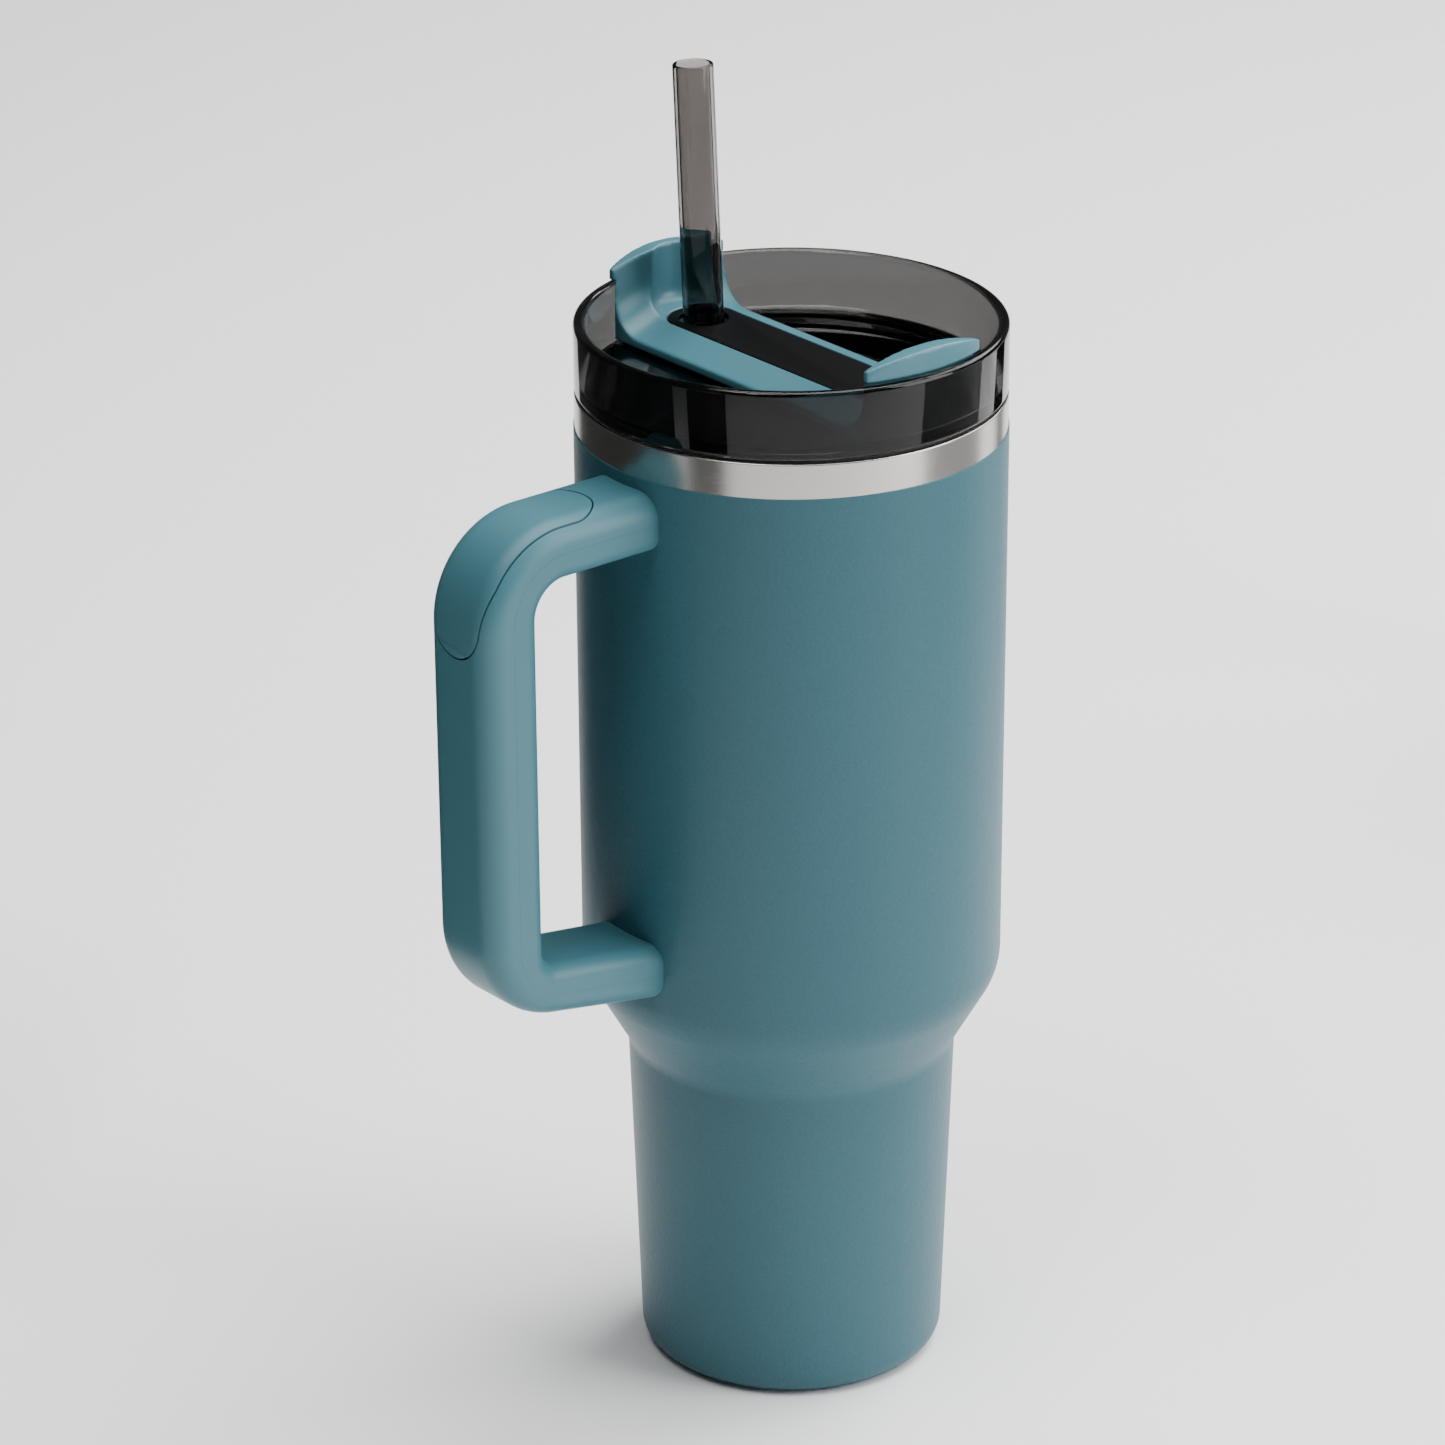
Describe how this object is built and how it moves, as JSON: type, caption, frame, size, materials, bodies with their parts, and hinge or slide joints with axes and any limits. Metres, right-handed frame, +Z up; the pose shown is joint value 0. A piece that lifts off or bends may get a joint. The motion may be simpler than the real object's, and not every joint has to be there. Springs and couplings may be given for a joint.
{
  "type": "insulated tumbler",
  "caption": "Tall insulated steel tumbler with a side handle, a screw lid, a rotating cover with thumb tabs and a straw.",
  "frame": {"origin": "centre of the flat base on the cup's axis, where it stands", "axes": "+Z up along the cup's axis, the handle reaches along -X, and the straw end of the cover points along +Y"},
  "size_m": [0.1454, 0.0984, 0.3078],
  "materials": {
    "teal_coat": "fine pebbled powder coat",
    "steel": "brushed",
    "steel_inside": "satin",
    "teal_plastic": "satin",
    "smoke_clear": "clear smoke grey, glossy",
    "straw_clear": "clear grey, glossy",
    "black_plastic": "matt",
    "silicone": "matt",
    "grip_soft": "matt",
    "bead_glass": "fused",
    "getter_metal": "sintered"
  },
  "bodies": {
    "cup": {"outer_shell": "steel", "powder_coat": "teal_coat", "inner_liner": "steel_inside", "base_closure": "steel_inside", "base_cover": "steel", "seal_bead": "bead_glass", "getter_pill": "getter_metal", "upper_bracket": "steel", "lower_bracket": "steel", "handle_outer_shell": "teal_plastic", "handle_inner_shell": "teal_plastic", "grip_insert": "grip_soft", "handle_screws": "steel"},
    "gasket": {"lid_gasket": "silicone"},
    "lid": {"lid_body": "smoke_clear"},
    "cover": {"rotating_cover": "teal_plastic", "cover_insert": "black_plastic", "straw_seal": "silicone", "closing_pad": "silicone", "hub_seal": "silicone", "retaining_washer": "steel", "pivot_screw": "steel"},
    "straw_tube": {"straw": "straw_clear"}
  },
  "joints": [
    {"name": "lid_lift", "type": "slide", "parent": "cup", "child": "gasket", "axis": [0, 0, 1], "range_m": [0, 0.02]},
    {"name": "lid_turn", "type": "hinge", "parent": "gasket", "child": "lid", "pos_m": [0, 0, 0.2403], "axis": [0, 0, 1], "range_deg": [0, 720]},
    {"name": "cover_turn", "type": "hinge", "parent": "lid", "child": "cover", "pos_m": [0, 0, 0.243], "axis": [0, 0, 1], "range_deg": [-16, 16]},
    {"name": "straw_pull", "type": "slide", "parent": "cover", "child": "straw_tube", "axis": [0, 0.0558, 0.9984], "range_m": [0, 0.25]}
  ],
  "couplings": [
    {"joint": "lid_lift", "follows": "lid_turn", "m_per_rad": 0.0015915}
  ]
}
